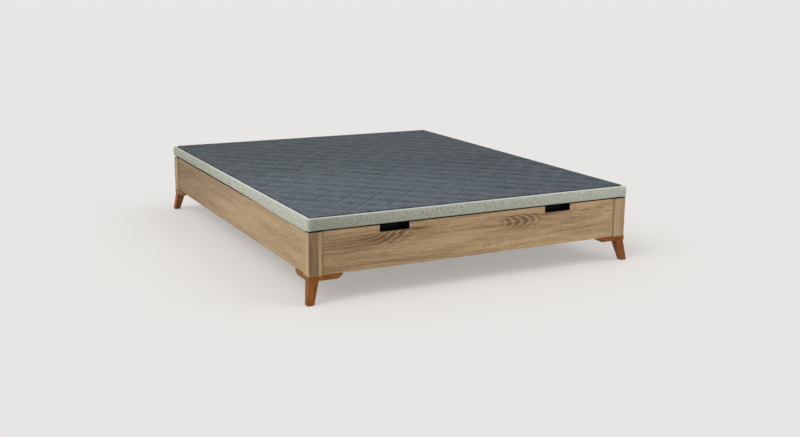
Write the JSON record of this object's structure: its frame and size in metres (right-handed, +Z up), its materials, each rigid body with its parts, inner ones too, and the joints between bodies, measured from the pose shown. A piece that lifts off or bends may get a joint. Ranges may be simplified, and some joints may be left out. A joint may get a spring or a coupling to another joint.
{
  "type": "storage bed",
  "caption": "Low double bed base: an oak decor box on splayed stained legs, under a quilted upholstered lid that lifts at the foot on gas struts over a storage space.",
  "frame": {"origin": "on the floor under the middle of the bed", "axes": "+Z up, +Y from the foot to the hinged head end, +X to the right of someone at the foot who looks towards the head"},
  "size_m": [1.623, 2.023, 0.358],
  "materials": {
    "oak_board": "oak decor boards with a horizontal grain, satin",
    "oak_post": "oak decor posts with an upright grain, satin",
    "stained_wood": "reddish brown stained hardwood, satin lacquer",
    "pine_batten": "planed softwood, bare",
    "panel_board": "smooth fibreboard",
    "quilt_fabric": "dark blue grey quilted fabric",
    "band_fabric": "pale grey green tweed",
    "black_plastic": "black moulded plastic, matt",
    "glide_plastic": "dark brown plastic",
    "rubber": "black rubber",
    "black_paint": "black paint, satin",
    "rod_chrome": "polished chrome",
    "zinc_plate": "zinc plated pressed steel",
    "zinc_fixing": "zinc plated screws and bolts"
  },
  "bodies": {
    "base": {"bracket_screws": "zinc_fixing", "centre_leg_front": "pine_batten", "centre_leg_rear": "pine_batten", "corner_angles": "zinc_plate", "corner_screws": "zinc_fixing", "finger_cup_left": "black_plastic", "finger_cup_right": "black_plastic", "floor_panel_left": "panel_board", "floor_panel_right": "panel_board", "floor_spine": "pine_batten", "front_board": "oak_board", "hinge_pins": "zinc_fixing", "hinge_plate_left": "zinc_plate", "hinge_plate_right": "zinc_plate", "hinge_screws": "zinc_fixing", "hinge_washers": "zinc_fixing", "ledge_front": "pine_batten", "ledge_left": "pine_batten", "ledge_rear": "pine_batten", "ledge_right": "pine_batten", "ledge_screws": "zinc_fixing", "left_board": "oak_board", "leg_bolts": "zinc_fixing", "leg_bracket_front_left": "stained_wood", "leg_bracket_front_right": "stained_wood", "leg_bracket_rear_left": "stained_wood", "leg_bracket_rear_right": "stained_wood", "leg_front_left": "stained_wood", "leg_front_right": "stained_wood", "leg_glides": "glide_plastic", "leg_rear_left": "stained_wood", "leg_rear_right": "stained_wood", "lid_bumpers": "rubber", "post_front_left": "oak_post", "post_front_right": "oak_post", "post_rear_left": "oak_post", "post_rear_right": "oak_post", "rear_board": "oak_board", "right_board": "oak_board", "strut_base_studs": "zinc_fixing"},
    "lid": {"joining_bolts": "zinc_fixing", "lid_arm_bolts": "zinc_fixing", "lid_arm_left": "zinc_plate", "lid_arm_right": "zinc_plate", "lid_band_foot": "band_fabric", "lid_band_head": "band_fabric", "lid_board_foot": "panel_board", "lid_board_head": "panel_board", "lid_frame_foot": "pine_batten", "lid_frame_head": "pine_batten", "lid_pad_foot": "quilt_fabric", "lid_pad_head": "quilt_fabric", "strut_lid_studs": "zinc_fixing"},
    "cylinder_left": {"strut_cylinder_left": "black_paint"},
    "rod_left": {"strut_rod_left": "rod_chrome"},
    "cylinder_right": {"strut_cylinder_right": "black_paint"},
    "rod_right": {"strut_rod_right": "rod_chrome"}
  },
  "joints": [
    {"name": "lid_lift", "type": "hinge", "parent": "base", "child": "lid", "pos_m": [0, 0.982, 0.33], "axis": [-1, 0, 0], "range_deg": [0, 50]},
    {"name": "cylinder_left_swing", "type": "hinge", "parent": "base", "child": "cylinder_left", "pos_m": [-0.756, 0.91439, 0.185], "axis": [-1, 0, 0], "range_deg": [0, 25]},
    {"name": "rod_left_swing", "type": "hinge", "parent": "lid", "child": "rod_left", "pos_m": [-0.756, 0.82212, 0.324], "axis": [-1, 0, 0], "range_deg": [-25, 0]},
    {"name": "cylinder_right_swing", "type": "hinge", "parent": "base", "child": "cylinder_right", "pos_m": [0.756, 0.91439, 0.185], "axis": [-1, 0, 0], "range_deg": [0, 25]},
    {"name": "rod_right_swing", "type": "hinge", "parent": "lid", "child": "rod_right", "pos_m": [0.756, 0.82212, 0.324], "axis": [-1, 0, 0], "range_deg": [-25, 0]}
  ],
  "couplings": [
    {"joint": "cylinder_left_swing", "follows": "lid_lift", "ratio": 0.5},
    {"joint": "rod_left_swing", "follows": "lid_lift", "ratio": -0.5},
    {"joint": "cylinder_right_swing", "follows": "lid_lift", "ratio": 0.5},
    {"joint": "rod_right_swing", "follows": "lid_lift", "ratio": -0.5}
  ]
}
